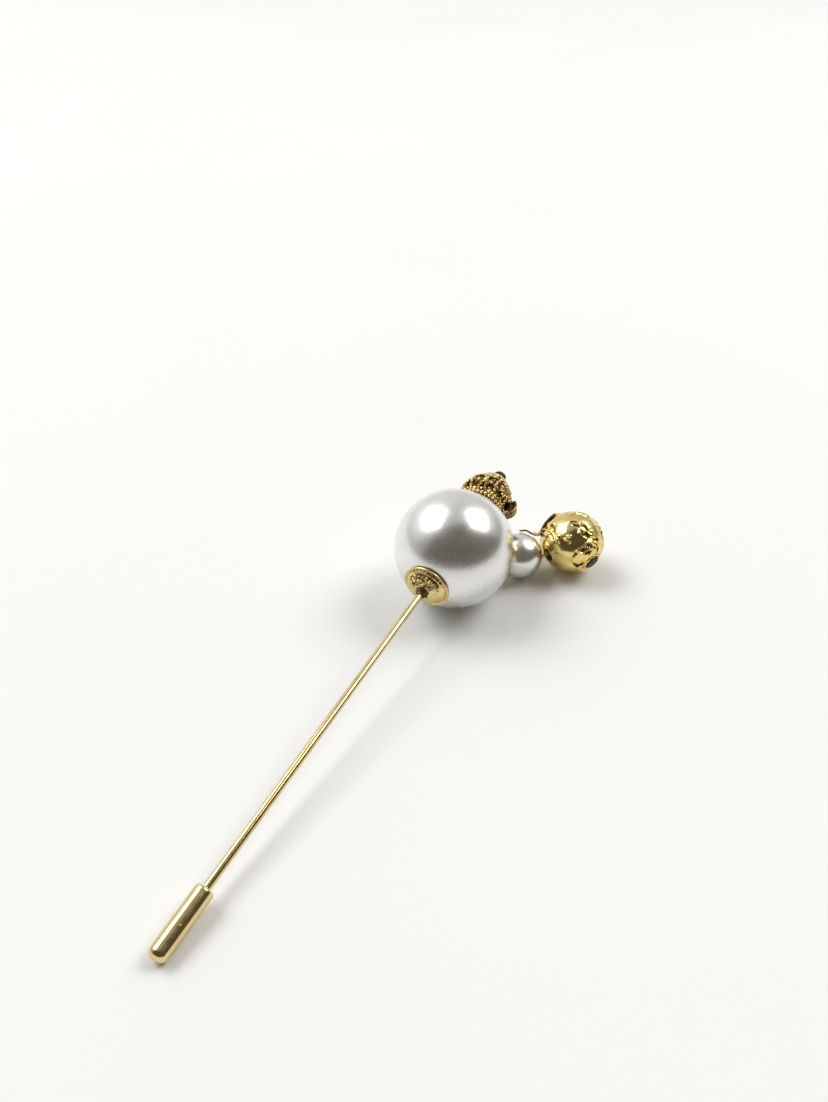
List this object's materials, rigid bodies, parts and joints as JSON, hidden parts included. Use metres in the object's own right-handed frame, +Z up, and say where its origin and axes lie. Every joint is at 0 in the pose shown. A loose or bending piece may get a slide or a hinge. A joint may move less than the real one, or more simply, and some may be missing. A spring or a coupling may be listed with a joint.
{
  "type": "hat pin",
  "caption": "Pearl-headed hat pin with a gold finial, a side sprig of a small pearl and a gold bead, and a bullet clutch that slides off the stem.",
  "frame": {"origin": "middle of the footprint of the pin as it lies on a table, at table height", "axes": "+X along the stem's run over the table, from the clutch to the pearl head; +Z up from the table; the sprig stands out towards -Y"},
  "size_m": [0.0984, 0.0304, 0.02],
  "materials": {
    "polished_gold": "bright gold plate, polished, with fine scratches and small pits",
    "antique_gold": "darker gold with brown in the recesses",
    "pearl_coat": "soft white pearl lacquer with a satin mirror gloss",
    "dark_stone": "near-black flat-topped glass stones",
    "flux_brown": "dark brown solder and flux residue",
    "nylon": "natural nylon, inside the clutch"
  },
  "bodies": {
    "pin": {"apex_bezel": "polished_gold", "apex_stone": "dark_stone", "base_cup": "polished_gold", "finial_dome": "antique_gold", "finial_foot_ring": "antique_gold", "finial_petal_1": "antique_gold", "finial_petal_2": "antique_gold", "finial_petal_3": "antique_gold", "finial_petal_4": "antique_gold", "finial_petal_5": "antique_gold", "finial_petal_6": "antique_gold", "finial_rope": "antique_gold", "finial_side_scroll": "antique_gold", "large_pearl": "pearl_coat", "nugget_bead": "polished_gold", "nugget_leaf": "polished_gold", "pin_stem": "polished_gold", "setting_stone": "dark_stone", "side_dish": "polished_gold", "side_stone": "dark_stone", "solder_collar": "flux_brown", "sprig_wire": "polished_gold", "stone_setting": "polished_gold"},
    "clutch_grip": {"clutch_grip_sleeve": "nylon", "clutch_mouth_bush": "polished_gold"},
    "clutch_shell": {"clutch_shell": "polished_gold"},
    "small_pearl": {"small_pearl": "pearl_coat"}
  },
  "joints": [
    {"name": "clutch_slide", "type": "slide", "parent": "pin", "child": "clutch_grip", "axis": [-0.9935, 0, -0.1135], "range_m": [0, 0.012]},
    {"name": "clutch_turn", "type": "hinge", "parent": "clutch_grip", "child": "clutch_shell", "pos_m": [-0.04919, 0.00517, 0.00129], "axis": [0.9935, 0, 0.1135], "continuous": true},
    {"name": "small_pearl_turn", "type": "hinge", "parent": "pin", "child": "small_pearl", "pos_m": [0.03755, -0.00246, 0.00401], "axis": [0.736, -0.5328, -0.4176], "continuous": true}
  ]
}
